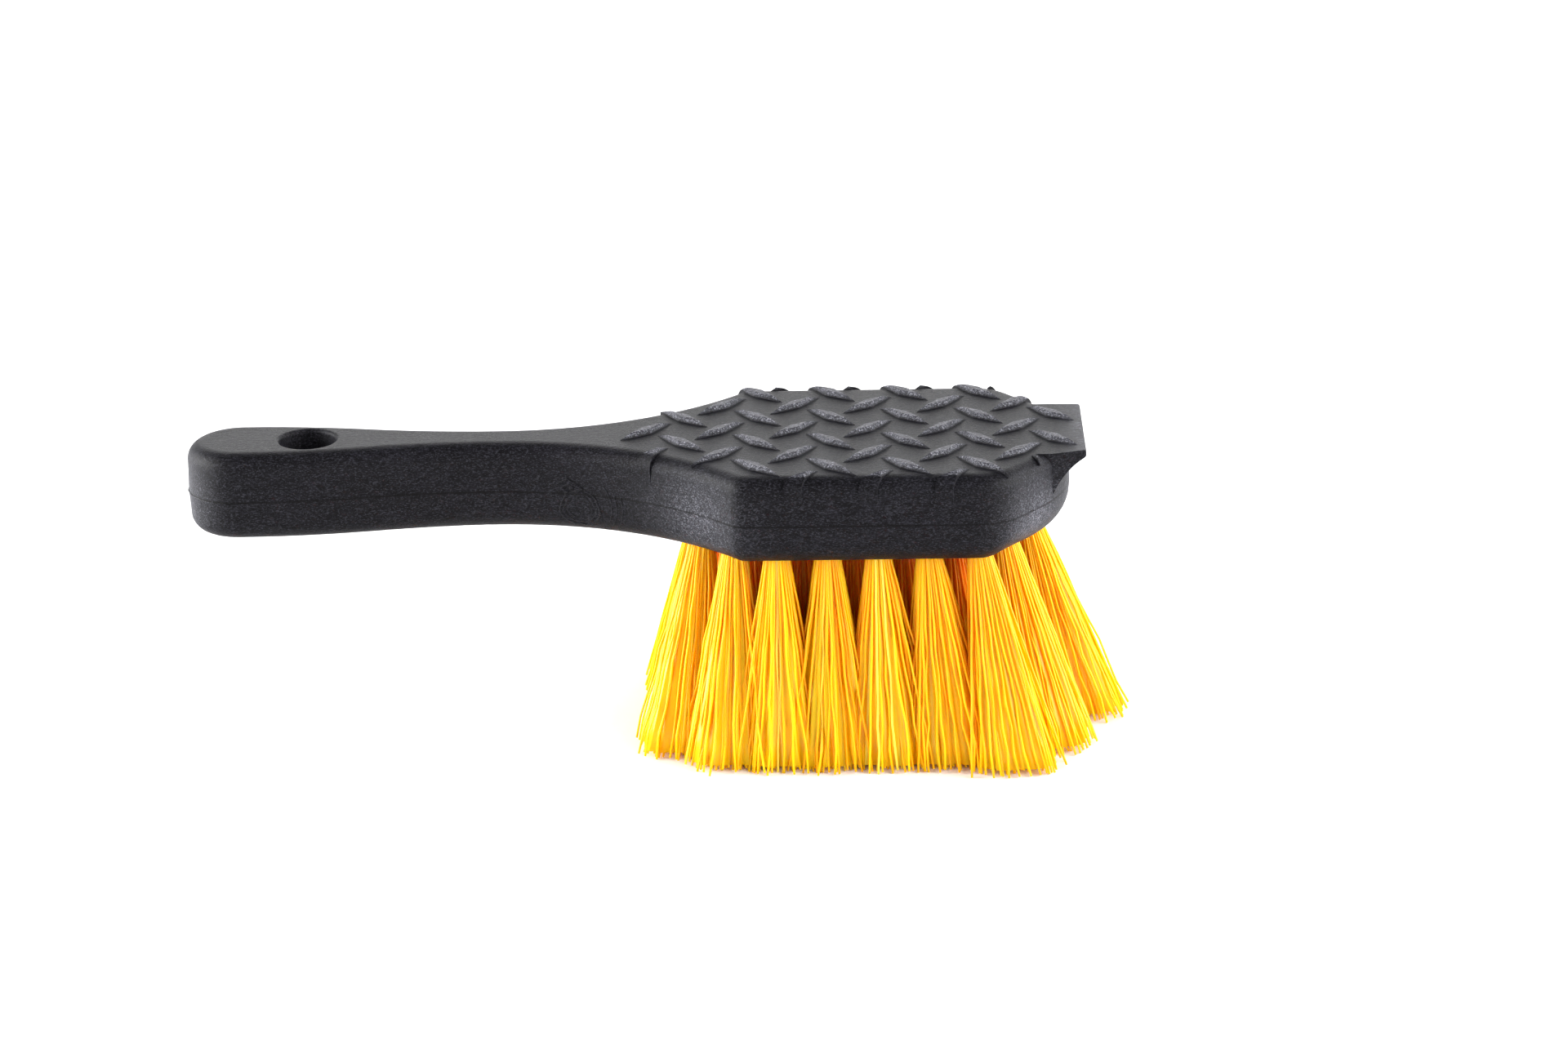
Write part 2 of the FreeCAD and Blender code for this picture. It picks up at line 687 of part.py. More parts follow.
def export(parts):
    for part in parts:
        if part.Shape.isNull() or not part.Shape.isValid():
            raise RuntimeError(f"{part.Label} has no valid shape")
    os.makedirs("parts", exist_ok=True)
    for part in parts:
        part.Shape.exportStep(f"parts/{part.Label}.step")


parts = make_all()
check_document()
export(parts)
for part in parts:
    print(part.Label, len(part.Shape.Solids), round(part.Shape.Volume), part.Shape.BoundBox)
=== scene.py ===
"""The looks of the wheel brush: bristle filaments, moulding marks, materials, light and camera.

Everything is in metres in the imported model's frame: +X from the handle to the nose, +Z up from the
bristles' trim plane to the tread.
"""

import json
import math

import bmesh
import bpy
import numpy as np
from mathutils import Matrix, Vector
from mathutils.bvhtree import BVHTree


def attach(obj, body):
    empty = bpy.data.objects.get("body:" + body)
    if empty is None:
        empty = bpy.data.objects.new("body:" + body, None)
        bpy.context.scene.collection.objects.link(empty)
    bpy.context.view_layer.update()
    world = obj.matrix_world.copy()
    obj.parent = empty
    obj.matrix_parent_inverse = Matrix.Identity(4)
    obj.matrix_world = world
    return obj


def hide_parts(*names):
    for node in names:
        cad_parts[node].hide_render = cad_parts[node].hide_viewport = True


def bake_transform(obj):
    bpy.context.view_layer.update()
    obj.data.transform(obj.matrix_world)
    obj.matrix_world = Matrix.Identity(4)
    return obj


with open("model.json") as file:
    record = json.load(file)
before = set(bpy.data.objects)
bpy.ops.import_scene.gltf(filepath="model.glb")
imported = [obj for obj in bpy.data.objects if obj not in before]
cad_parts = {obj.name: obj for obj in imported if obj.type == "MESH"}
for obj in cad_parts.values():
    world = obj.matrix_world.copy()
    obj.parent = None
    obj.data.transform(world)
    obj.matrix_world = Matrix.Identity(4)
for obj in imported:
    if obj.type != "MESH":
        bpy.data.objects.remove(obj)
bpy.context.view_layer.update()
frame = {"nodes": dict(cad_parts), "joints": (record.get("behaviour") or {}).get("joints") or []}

MM = 0.001
GOLDEN_ANGLE = math.pi * (3 - math.sqrt(5))
BLOCK = frame["nodes"]["brush_block"]


# --- Meshes ---------------------------------------------------------------------------------------


def add_mesh(name, vertices, faces, material, smooth=True):
    """A new object holding these vertices and faces, linked to the scene."""
    mesh = bpy.data.meshes.new(name)
    mesh.from_pydata(vertices, [], faces)
    mesh.validate()
    mesh.polygons.foreach_set("use_smooth", [smooth] * len(mesh.polygons))
    mesh.materials.append(material)
    mesh.update()
    piece = bpy.data.objects.new(name, mesh)
    bpy.context.scene.collection.objects.link(piece)
    return piece


def block_tree():
    """The block's surface for closest-point and ray queries."""
    mesh = BLOCK.data
    corners = [v.co.copy() for v in mesh.vertices]
    return BVHTree.FromPolygons(corners, [tuple(p.vertices) for p in mesh.polygons])


# --- Bristles -------------------------------------------------------------------------------------

ALONG, ACROSS = 0, 1                   # the handle: X and Y
FIRST_TUFT_SEED = 100
CUT_END_HEIGHT = 0.1 * MM              # a solid tuft's corners under it are at its cut end
FILAMENT_RADIUS = 0.29 * MM
FOLDED_FILAMENTS = 72                  # in one tuft, each giving two legs
BUNDLE_RADIUS = 2.8 * MM               # of the filaments' centre lines where they leave the hole
TIP_SPREAD = (11.8 * MM, 9.8 * MM)     # of the same centre lines at the trim plane, along and across
SPREAD_CHANGE = 0.05                   # how much that differs from one filament to the next
TIP_JITTER = 0.5 * MM
LEG_POINTS = 10
TUBE_SIDES = 5
CLUMPS = 9
CLUMP_REACH = 0.85                     # of the tuft's radius, where the outermost clump is
CLUMP_PULL = 0.1
TRIM_HEIGHT = 0.5 * MM
TRIM_SPREAD = 0.3 * MM
TRIM_LOWEST = 0.02 * MM
LONG_SHARE = 0.06                      # of the filaments, the ones that missed the trimming
LONG_TRIM = 0.5                        # the greatest height of their ends, of the trim height
STRAY_SHARE = 0.025                    # of the filaments, the ones that stand out of the tuft
STRAY_REACH = (0.1, 0.45)              # how far out, of the distance from the tuft's middle
STRAY_BEND = 2.0                       # the power by which they curve outwards
WAVE_LENGTH = (13 * MM, 27 * MM)
WAVE_HEIGHT = (0.06 * MM, 0.42 * MM)
LEAN_TO_NOSE = 0.72                    # of the solid tuft's lean
LEAN_TO_HANDLE = 0.44
LEAN_ACROSS = 0.7
CORNER_PULL = 0.55                     # how far a tuft's round outline turns into a square one at the tips
NEAR_MIDDLE = 0.001                    # of a unit disc: closer in, the outline isn't squared any more
CENTRE_ROW = 1 * MM                    # tufts closer to the centre line than this are the middle row
BRUSH_MIDDLE = 49 * MM
FAN_START = 24 * MM                    # beyond it from the middle, tufts beside the centre line fan out
FAN_LENGTH = 8 * MM
FAN_REACH = 7 * MM
DEEP_HEIGHT = (16 * MM, 50 * MM)       # between them, painted shade deepens the inner tufts' colour towards their roots
RIM_DEEP = 0.14                        # the same painted shade for the tufts of the rim, as a share of the inner ones
CORE_COLUMNS = 88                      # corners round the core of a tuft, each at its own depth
CORE_SHARE = 0.88                      # of the tuft's width
CORE_GROOVE = 0.16                     # deepest groove, of the core's width
CORE_LENGTH = 0.97                     # of the bristles' length
# The folds turn at this depth in the hole and so run through the staple, which stands 9.2 to 11.5 mm deep.
FOLD_DEPTH = 8.9 * MM
FOLD_STEPS = 5
FOLD_RISE = 0.4                        # of the fold, for each unit of its legs' way from the middle


def tuft_ends(node, joint):
    """The middle of a tuft where it leaves the block, and the middle of its cut end."""
    mouth = Vector(joint["pos_m"])
    corners = frame["nodes"][node].data.vertices
    cut_end = np.array([v.co for v in corners if v.co.z < CUT_END_HEIGHT])
    middle = (cut_end.min(axis=0) + cut_end.max(axis=0)) / 2
    return mouth, Vector(middle)


def disc_points(count):
    """Evenly spread points of a unit disc as an array of x, y."""
    index = np.arange(count)
    radius = np.sqrt((index + 0.5) / count)
    angle = index * GOLDEN_ANGLE
    return np.stack([radius * np.cos(angle), radius * np.sin(angle)], axis=1)


def turned(points, angle):
    """2D points turned about the origin."""
    spin = np.array([[math.cos(angle), math.sin(angle)], [-math.sin(angle), math.cos(angle)]])
    return points @ spin


def tuft_lean(mouth, tip, side):
    """How far the tuft's cut end stands from under its mouth, along the handle or across it."""
    lean = tip[side] - mouth[side]
    if side == ALONG:
        return lean * (LEAN_TO_NOSE if lean > 0 else LEAN_TO_HANDLE)
    lean *= LEAN_ACROSS
    if abs(mouth.y) > CENTRE_ROW:
        beyond = (abs(mouth.x - BRUSH_MIDDLE) - FAN_START) / FAN_LENGTH
        lean += math.copysign(min(max(beyond, 0), 1) * FAN_REACH, mouth.y)
    return lean


def squared(spots):
    """Round spots spread towards the corners of a square."""
    radius = np.linalg.norm(spots, axis=1, keepdims=True)
    widest = np.abs(spots).max(axis=1, keepdims=True)
    return spots * (radius / np.maximum(widest, NEAR_MIDDLE)) ** CORNER_PULL


def leg_paths(mouth, tip, spots, rng):
    """Centre lines of the filament legs outside the hole, from the mouth to the cut end."""
    count = len(spots)
    clumps = turned(disc_points(CLUMPS) * CLUMP_REACH, rng.uniform(0, 2 * math.pi))
    nearest = np.argmin(((spots[:, None] - clumps[None]) ** 2).sum(axis=2), axis=1)
    pulled = spots + (clumps[nearest] - spots) * CLUMP_PULL
    spread = np.array(TIP_SPREAD) * (1 + SPREAD_CHANGE * rng.standard_normal((count, 1)))
    tips = squared(pulled) * spread
    tips += rng.standard_normal((count, 2)) * TIP_JITTER
    strays = rng.random(count) < STRAY_SHARE
    tips[strays] += tips[strays] * rng.uniform(*STRAY_REACH, (strays.sum(), 1))
    bend = np.where(strays, STRAY_BEND, 1.0)[:, None]
    cut = TRIM_HEIGHT + rng.normal(0, TRIM_SPREAD, count)
    long_ones = rng.random(count) < LONG_SHARE
    cut[long_ones] = rng.uniform(0, LONG_TRIM, long_ones.sum()) * TRIM_HEIGHT
    cut = np.maximum(cut, TRIM_LOWEST)
    share = np.linspace(0, 1, LEG_POINTS)
    waves = 2 * math.pi * share * mouth.z / rng.uniform(*WAVE_LENGTH, (count, 1))
    swing = np.sin(share * math.pi / 2) * rng.uniform(*WAVE_HEIGHT, (count, 1))
    legs = np.empty((count, LEG_POINTS, 3))
    for side in (ALONG, ACROSS):
        start = mouth[side] + spots[:, side:side + 1] * BUNDLE_RADIUS
        end = mouth[side] + tuft_lean(mouth, tip, side) + tips[:, side:side + 1]
        phase = rng.uniform(0, 2 * math.pi, (count, 1))
        legs[:, :, side] = start + (end - start) * share**bend + np.sin(waves + phase) * swing
    legs[:, :, 2] = mouth.z + (cut[:, None] - mouth.z) * share
    return legs


def fold_paths(mouth, tip, spots, leg_a, leg_b):
    """Centre lines of whole filaments: up one leg, round the fold in the hole and down the other."""
    angle = np.linspace(0, math.pi, FOLD_STEPS)
    half = spots[:, :1] * BUNDLE_RADIUS
    depth = FOLD_DEPTH + np.sin(angle) * (FILAMENT_RADIUS + half * FOLD_RISE)
    slope = (mouth - tip) / (mouth.z - tip.z)
    fold = np.empty((len(spots), FOLD_STEPS, 3))
    fold[:, :, 0] = mouth.x + np.cos(angle) * half + slope.x * depth
    fold[:, :, 1] = mouth.y + spots[:, 1:] * BUNDLE_RADIUS + slope.y * depth
    fold[:, :, 2] = mouth.z + depth
    return np.concatenate([leg_a[:, ::-1], fold, leg_b], axis=1)


def tubes(paths, radius, sides):
    """Vertices and faces of a closed round tube along each path."""
    count, points, _ = paths.shape
    ahead = np.gradient(paths, axis=1)
    ahead /= np.linalg.norm(ahead, axis=2, keepdims=True)
    normal = np.zeros_like(paths)
    start = np.tile([1.0, 0.0, 0.0], (count, 1))
    for k in range(points):
        along = ahead[:, k]
        start = start - (start * along).sum(1, keepdims=True) * along
        start /= np.linalg.norm(start, axis=1, keepdims=True)
        normal[:, k] = start
    other = np.cross(ahead, normal)
    angle = np.linspace(0, 2 * math.pi, sides, endpoint=False)
    ring = (
        normal[:, :, None] * np.cos(angle)[None, None, :, None]
        + other[:, :, None] * np.sin(angle)[None, None, :, None]
    )
    vertices = (paths[:, :, None] + ring * radius).reshape(-1, 3)
    faces = []
    for f in range(count):
        first = f * points * sides
        for k in range(points - 1):
            low = first + k * sides
            for s in range(sides):
                nxt = (s + 1) % sides
                faces.append((low + s, low + nxt, low + sides + nxt, low + sides + s))
        faces.append(tuple(first + s for s in reversed(range(sides))))
        end = first + (points - 1) * sides
        faces.append(tuple(end + s for s in range(sides)))
    return vertices, faces


def packed_core(mouth, tip, rng):
    """The filaments packed in the middle of a tuft: vertices and faces of one closed grooved cone."""
    angle = np.linspace(0, 2 * math.pi, CORE_COLUMNS, endpoint=False)
    ring = np.stack([np.cos(angle), np.sin(angle)], axis=1)
    ring *= CORE_SHARE * (1 - CORE_GROOVE * rng.random((CORE_COLUMNS, 1)))
    tips = squared(ring) * TIP_SPREAD
    share = np.linspace(0, CORE_LENGTH, LEG_POINTS)[:, None]
    rows = np.empty((LEG_POINTS, CORE_COLUMNS, 3))
    for side in (ALONG, ACROSS):
        start = mouth[side] + ring[:, side] * BUNDLE_RADIUS
        end = mouth[side] + tuft_lean(mouth, tip, side) + tips[:, side]
        rows[:, :, side] = start + (end - start) * share
    rows[:, :, 2] = mouth.z * (1 - share)
    faces = [tuple(range(CORE_COLUMNS))]
    for k in range(LEG_POINTS - 1):
        for column in range(CORE_COLUMNS):
            here = k * CORE_COLUMNS + column
            beside = k * CORE_COLUMNS + (column + 1) % CORE_COLUMNS
            faces.append((here, here + CORE_COLUMNS, beside + CORE_COLUMNS, beside))
    last = (LEG_POINTS - 1) * CORE_COLUMNS
    faces.append(tuple(last + column for column in reversed(range(CORE_COLUMNS))))
    return rows.reshape(-1, 3), faces


def add_values(piece, name, values):
    """A number for each of the piece's vertices, which the material reads by this name."""
    layer = piece.data.attributes.new(name, "FLOAT", "POINT")
    layer.data.foreach_set("value", values)


def make_tuft(joint, number, material):
    """The filaments of one tuft, bending from the block to the tuft's own body."""
    node = joint["child"]
    rng = np.random.default_rng(FIRST_TUFT_SEED + number)
    mouth, tip = tuft_ends(node, joint)
    spots = turned(disc_points(2 * FOLDED_FILAMENTS + 1)[1:], rng.uniform(0, 2 * math.pi))
    spots = spots[np.argsort(spots[:, 0])][-FOLDED_FILAMENTS:]
    leg_a = leg_paths(mouth, tip, spots, rng)
    leg_b = leg_paths(mouth, tip, spots * (-1, 1), rng)
    paths = fold_paths(mouth, tip, spots, leg_a, leg_b)
    vertices, faces = tubes(paths, FILAMENT_RADIUS, TUBE_SIDES)
    core, core_faces = packed_core(mouth, tip, rng)
    faces += [tuple(len(vertices) + corner for corner in face) for face in core_faces]
    vertices = np.concatenate([vertices, core])
    piece = add_mesh("bristles_" + node.removeprefix("tuft_"), vertices, faces, material)
    tube_tints = np.repeat(rng.random(len(paths)), paths.shape[1] * TUBE_SIDES)
    core_tints = np.tile(rng.random(CORE_COLUMNS), LEG_POINTS)
    add_values(piece, "tint", np.concatenate([tube_tints, core_tints]))
    # Painted shade: the inner tufts deepen to orange towards their roots, where their neighbours shade
    # them.
    low, high = DEEP_HEIGHT
    height = np.clip((vertices[:, 2] - low) / (high - low), 0, 1)
    inner = "outer" not in node and abs(mouth.x - BRUSH_MIDDLE) < FAN_START + FAN_LENGTH
    add_values(piece, "deep", height * (1.0 if inner else RIM_DEEP))
    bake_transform(piece)
    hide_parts(node)


# --- Moulding marks -------------------------------------------------------------------------------

PARTING_HEIGHT = 60.8 * MM
FLASH_SEED = 7
FLASH_STEP = 0.5 * MM
FLASH_HALF_HEIGHT = 0.17 * MM
FLASH_REACH = (0.06 * MM, 0.32 * MM)   # how far the ridge stands out of the wall
FLASH_ROOT = 0.25 * MM                 # how deep it sits in the wall
FLASH_DRIFT = 0.25 * MM                # how far it wanders up and down
FLASH_WAVES = (61, 5, 31)              # steps over which its strength, its nicks and its height change
FLASH_FALL = 1.5                       # the power that keeps most of it low

# The gate's mark on the waist's near wall. Places are along the wall and up, from the gate's middle.
GATE_SEED = 11
GATE_PLACE = (-18 * MM, 57.6 * MM)     # of the middle, along the handle and above the trim plane
GATE_RADIUS = 5.4 * MM
GATE_SQUASH = 1.05
GATE_RING = 0.95 * MM                  # from one ring to the next
RING_HEIGHT = 0.26 * MM
RING_EDGE = 0.4 * MM                   # over which the outermost ring runs out
RING_LEAST = 0.15                      # of that height, at the middle
RING_WOBBLES = [(3, 0.6, 0.25 * MM), (7, 0.0, 0.12 * MM)]   # waves round a ring, their phase and size
PIP_PLACE = (-2.0 * MM, 4.9 * MM)      # the torn stub of the sprue
PIP_RADIUS = 0.75 * MM
PIP_HEIGHT = 0.4 * MM
RIM_LENS = (2.5 * MM, 1.0 * MM)        # half the length and width of the lens-shaped rim round the pip
BROW_TOP = (-1.0 * MM, 2.4 * MM)       # of the bent ridge over the pip, from the pip
BROW_SLOPE = 0.62
LASH_SLOPE = 0.28                      # of the straight ridge under the pip
LASH_DROP = 0.9 * MM
RIM = {"half_width": 0.3 * MM, "middle": 0.0, "half_length": 2.7 * MM, "height": 0.38 * MM}
BROW = {"half_width": 0.28 * MM, "middle": -0.6 * MM, "half_length": 3.6 * MM, "height": 0.3 * MM}
LASH = {"half_width": 0.3 * MM, "middle": 1.6 * MM, "half_length": 3.4 * MM, "height": 0.36 * MM}
FLOW_LINES = [(7.2 * MM, 6 * MM), (8.4 * MM, 5 * MM), (9.8 * MM, 4 * MM)]   # radius, and top end
FLOW_MIDDLE = (0.5 * MM, 0.5 * MM)
FLOW_SQUASH = 0.9
FLOW_START = 1.5 * MM                  # along the wall
FLOW_HALF_WIDTH = 0.22 * MM
FLOW_HEIGHT = 0.2 * MM
GRAIN_HEIGHT = 0.03 * MM
MARK_STEP = 0.16 * MM
MARK_SPAN = ((-7.5 * MM, 11 * MM), (-6.2 * MM, 9 * MM))   # of the patch that carries the marks
MARK_HIDDEN = -0.06 * MM               # height of the patch between its marks, under the block's face
MARK_BACK = 0.4 * MM                   # how deep the patch reaches into the wall
WALL_TILT = 0.75                       # a face whose normal rises or falls by more isn't the wall
RAY_START = -0.1                       # across the handle, in front of the wall


def parting_loop():
    """The block's outer outline at the parting plane, as an array of points at even steps."""
    work = bmesh.new()
    work.from_mesh(BLOCK.data)
    cut = bmesh.ops.bisect_plane(
        work,
        geom=work.verts[:] + work.edges[:] + work.faces[:],
        plane_co=(0, 0, PARTING_HEIGHT),
        plane_no=(0, 0, 1),
        clear_inner=True,
        clear_outer=True,
    )
    edges = {e for e in cut["geom_cut"] if isinstance(e, bmesh.types.BMEdge)}
    start = min((v for e in edges for v in e.verts), key=lambda v: (v.co.x, -v.co.y))
    points, vertex = [], start
    while True:
        points.append(vertex.co.copy())
        edge = next((e for e in vertex.link_edges if e in edges), None)
        if edge is None:
            break
        edges.remove(edge)
        vertex = edge.other_vert(vertex)
        if vertex is start:
            break
    work.free()
    path = np.array(points + points[:1])
    steps = np.linalg.norm(np.diff(path, axis=0), axis=1)
    along = np.concatenate([[0], np.cumsum(steps)])
    marks = np.linspace(0, along[-1], int(along[-1] / FLASH_STEP), endpoint=False)
    return np.stack([np.interp(marks, along, path[:, axis]) for axis in range(3)], axis=1)


def smooth_noise(count, window, rng):
    """Random values between 0 and 1, changing gently round a closed row."""
    raw = rng.random(count)
    kernel = np.hanning(window + 2)[1:-1]
    wrapped = np.concatenate([raw[-window:], raw, raw[:window]])
    soft = np.convolve(wrapped, kernel / kernel.sum(), "same")[window:-window]
    return (soft - soft.min()) / (soft.max() - soft.min())


def make_flash(material):
    """The thin uneven ridge where the two halves of the mould met."""
    rng = np.random.default_rng(FLASH_SEED)
    loop = parting_loop()
    count = len(loop)
    ahead = np.roll(loop, -1, axis=0) - np.roll(loop, 1, axis=0)
    ahead /= np.linalg.norm(ahead, axis=1, keepdims=True)
    x, y = loop[:, 0], loop[:, 1]
    turn = np.sign((x * np.roll(y, -1) - np.roll(x, -1) * y).sum())
    out = np.stack([ahead[:, 1], -ahead[:, 0], np.zeros(count)], axis=1) * turn
    strength_wave, nick_wave, drift_wave = FLASH_WAVES
    strength = smooth_noise(count, strength_wave, rng) ** FLASH_FALL
    strength *= smooth_noise(count, nick_wave, rng)
    low, high = FLASH_REACH
    reach = (low + (high - low) * strength)[:, None] * out
    drift = (smooth_noise(count, drift_wave, rng) - 0.5)[:, None] * (0, 0, FLASH_DRIFT)
    rise = np.array([0, 0, FLASH_HALF_HEIGHT])
    middle = loop + drift
    foot = out * FLASH_ROOT
    rows = [
        middle + rise - foot / 4,
        middle + reach - rise / 3,
        middle - rise - foot / 4,
        middle - foot,
    ]
    vertices = np.stack(rows, axis=1).reshape(-1, 3)
    sides = len(rows)
    faces = []
    for k in range(count):
        here, there = k * sides, (k + 1) % count * sides
        for side in range(sides):
            other = (side + 1) % sides
            faces.append((here + side, there + side, there + other, here + other))
    piece = add_mesh("parting_flash", vertices, faces, material, smooth=False)
    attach(piece, "block")


def ridge(distance, half_width):
    """A rounded ridge's height share at a distance from its line."""
    return np.clip(1 - (distance / half_width) ** 2, 0, 1)


def short_ridge(distance, along, half_width, middle, half_length, height):
    """A ridge's height at a distance from its line, for the stretch of it round a middle."""
    return ridge(distance, half_width) * (np.abs(along - middle) < half_length) * height


def gate_height(x, z):
    """Height over the block's wall of every mark, x along the wall and z up from the gate's middle."""
    rng = np.random.default_rng(GATE_SEED)
    radius = np.hypot(x, z * GATE_SQUASH)
    angle = np.arctan2(z, x)
    wobble = sum(size * np.sin(waves * angle + phase) for waves, phase, size in RING_WOBBLES)
    ring = 0.5 + 0.5 * np.cos(2 * math.pi * (radius + wobble) / GATE_RING)
    inside = np.clip((GATE_RADIUS - radius) / RING_EDGE, 0, 1)
    rings = ring * inside * np.clip(radius / GATE_RADIUS, RING_LEAST, 1) * RING_HEIGHT
    pip_x, pip_z = x - PIP_PLACE[0], z - PIP_PLACE[1]
    pip = ridge(np.hypot(pip_x, pip_z), PIP_RADIUS) * PIP_HEIGHT
    lens = np.abs(pip_z) - RIM_LENS[1] * np.clip(1 - (pip_x / RIM_LENS[0]) ** 2, 0, 1)
    brow_line = np.abs(pip_z - (BROW_TOP[1] - np.abs(pip_x - BROW_TOP[0]) * BROW_SLOPE))
    lash_line = np.abs(pip_z + LASH_DROP - LASH_SLOPE * pip_x)
    marks = [
        rings,
        pip,
        short_ridge(lens, pip_x, **RIM),
        short_ridge(brow_line, pip_x, **BROW),
        short_ridge(lash_line, pip_x, **LASH),
    ]
    from_flow = np.hypot(x - FLOW_MIDDLE[0], (z - FLOW_MIDDLE[1]) * FLOW_SQUASH)
    for reach, top in FLOW_LINES:
        beside = (x > FLOW_START) & (z < top)
        marks.append(ridge(np.abs(from_flow - reach), FLOW_HALF_WIDTH) * beside * FLOW_HEIGHT)
    grain = GRAIN_HEIGHT * rng.standard_normal(x.shape)
    return MARK_HIDDEN + np.maximum.reduce(marks) + grain


def make_gate(material):
    """The gate's mark: rings, a torn pip with a rim, a brow over it and flow lines beside it."""
    tree = block_tree()
    xs = np.arange(*MARK_SPAN[0], MARK_STEP)
    zs = np.arange(*MARK_SPAN[1], MARK_STEP)
    grid_x, grid_z = np.meshgrid(xs, zs)
    height = gate_height(grid_x, grid_z)
    front, back, used = [], [], {}
    for row in range(len(zs)):
        for column in range(len(xs)):
            origin = Vector((GATE_PLACE[0] + xs[column], RAY_START, GATE_PLACE[1] + zs[row]))
            hit, normal, _, _ = tree.ray_cast(origin, Vector((0, 1, 0)))
            if hit is None or abs(normal.z) > WALL_TILT:
                continue
            if normal.y > 0:
                normal = -normal
            used[row, column] = len(front)
            front.append(hit + normal * height[row, column])
            back.append(hit - normal * MARK_BACK)
    raised = height > MARK_HIDDEN / 2
    cells = []
    for row in range(len(zs) - 1):
        for column in range(len(xs) - 1):
            corners = [(row, column), (row, column + 1), (row + 1, column + 1), (row + 1, column)]
            if all(c in used for c in corners) and any(raised[c] for c in corners):
                cells.append([used[c] for c in corners])
    total = len(front)
    rim = {}    # the edges with a cell on one side only, in the order that they were met
    faces = []
    for cell in cells:
        faces.append(tuple(cell))
        faces.append(tuple(total + k for k in reversed(cell)))
        for a, b in zip(cell, cell[1:] + cell[:1]):
            if (b, a) in rim:
                del rim[b, a]
            else:
                rim[a, b] = True
    faces += [(b, a, total + a, total + b) for a, b in rim]
    piece = add_mesh("gate_mark", [*front, *back], faces, material)
    work = bmesh.new()
    work.from_mesh(piece.data)
    loose = [v for v in work.verts if not v.link_faces]
    bmesh.ops.delete(work, geom=loose, context="VERTS")
    work.to_mesh(piece.data)
    work.free()
    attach(piece, "block")


# --- Materials ------------------------------------------------------------------------------------

STREAKS = {"scale": 1300, "stretch": (0.35, 1, 0.9), "detail": 4, "roughness": 0.75, "swirl": 0.5}
FIBRES = {"scale": 3400, "stretch": (0.5, 1, 1), "detail": 3, "roughness": 0.7, "swirl": 0.4}
CLOUDS = {"scale": 70, "stretch": (0.5, 1, 1), "detail": 4, "roughness": 0.6, "swirl": 0.5}
BAR_LIGHT_HEIGHTS = (72.78 * MM, 73.3 * MM)      # between them the tread's bars get a painted highlight
# How strong the painted highlight on the tread's bars is.
BAR_LIGHT_SHARE = 0.85
SEAM_SHADE_HEIGHTS = (60.78 * MM, 61.42 * MM)    # of the painted shade line in the crease above the parting flash
SEAM_SHADE_COLOUR = (0.0004, 0.0003, 0.0005)
SEAM_SHADE_PROFILE = [(0.0, 0.0), (0.3, 1.0), (0.7, 1.0), (1.0, 0.0)]
GROUND_COLOURS = ((0.0009, 0.0008, 0.0014), (0.0072, 0.0069, 0.0100))   # of the painted light, darkest and palest
SPECK_COLOUR = (0.040, 0.040, 0.050)
SPECK_SHARE = 0.6
PAINTED_LIGHT_COLOURS = ((0.036, 0.036, 0.044), (0.32, 0.32, 0.36))              # where there is splay
PALE_SHARE = 0.8
PAINTED_LIGHT_EVEN = 0.6                           # the part of the painted light that the splay streaks leave alone
STREAK_BUMP = 0.14 * MM
FIBRE_BUMP = 0.11 * MM
# Painted light: the flare's flanks, the handle's end and the nose, which the side lamps catch, are painted
# paler and broken up by the skin's real splay streaks. Given here are the middle of each place and its
# reach.
PAINTED_LIGHT_PLACES = [
    ((0.004, -0.028, 0.060), (0.030, 0.016, 0.020)),
    ((0.004, 0.028, 0.060), (0.030, 0.016, 0.020)),
    ((-0.118, 0, 0.060), (0.020, 0.026, 0.020)),
    ((0.092, -0.025, 0.058), (0.020, 0.018, 0.018)),
    ((0.092, 0.025, 0.058), (0.020, 0.018, 0.018)),
    ((0.101, 0, 0.058), (0.016, 0.024, 0.014)),
]
TINT_COLOURS = [
    (0.0, (1.0, 0.61, 0.0003)),
    (0.45, (1.0, 0.695, 0.0005)),
    (0.92, (1.0, 0.775, 0.001)),
    (1.0, (1.0, 0.90, 0.12)),
]
DEEP_SHADE_TINT = (1.0, 0.46, 0.3)               # painted shade: filaments shaded by their neighbours turn deeper orange
THROUGH_TINT = (1.0, 0.92, 0.2)            # of light that comes through a filament
THROUGH_SHARE = 0.5


def new_material(name):
    """A material with its tree and its Principled node."""
    material = bpy.data.materials.new(name)
    material.use_nodes = True
    return material, material.node_tree, material.node_tree.nodes["Principled BSDF"]


def add_noise(tree, coordinates, scale, stretch=(1, 1, 1), detail=3.0, roughness=0.55, swirl=0.0):
    """A noise texture's factor in object coordinates, stretched along the axes."""
    mapping = tree.nodes.new("ShaderNodeMapping")
    mapping.inputs["Scale"].default_value = stretch
    tree.links.new(coordinates, mapping.inputs["Vector"])
    noise = tree.nodes.new("ShaderNodeTexNoise")
    noise.inputs["Scale"].default_value = scale
    noise.inputs["Detail"].default_value = detail
    noise.inputs["Roughness"].default_value = roughness
    noise.inputs["Distortion"].default_value = swirl
    tree.links.new(mapping.outputs["Vector"], noise.inputs["Vector"])
    return noise.outputs["Fac"]


def add_ramp(tree, factor, stops):
    """A colour ramp: stops are (position, colour or grey)."""
    ramp = tree.nodes.new("ShaderNodeValToRGB")
    while len(ramp.color_ramp.elements) < len(stops):
        ramp.color_ramp.elements.new(0.5)
    for element, (position, colour) in zip(ramp.color_ramp.elements, stops):
        element.position = position
        rgb = colour if isinstance(colour, tuple) else (colour,) * 3
        element.color = (*rgb, 1)
    tree.links.new(factor, ramp.inputs["Fac"])
    return ramp.outputs["Color"]


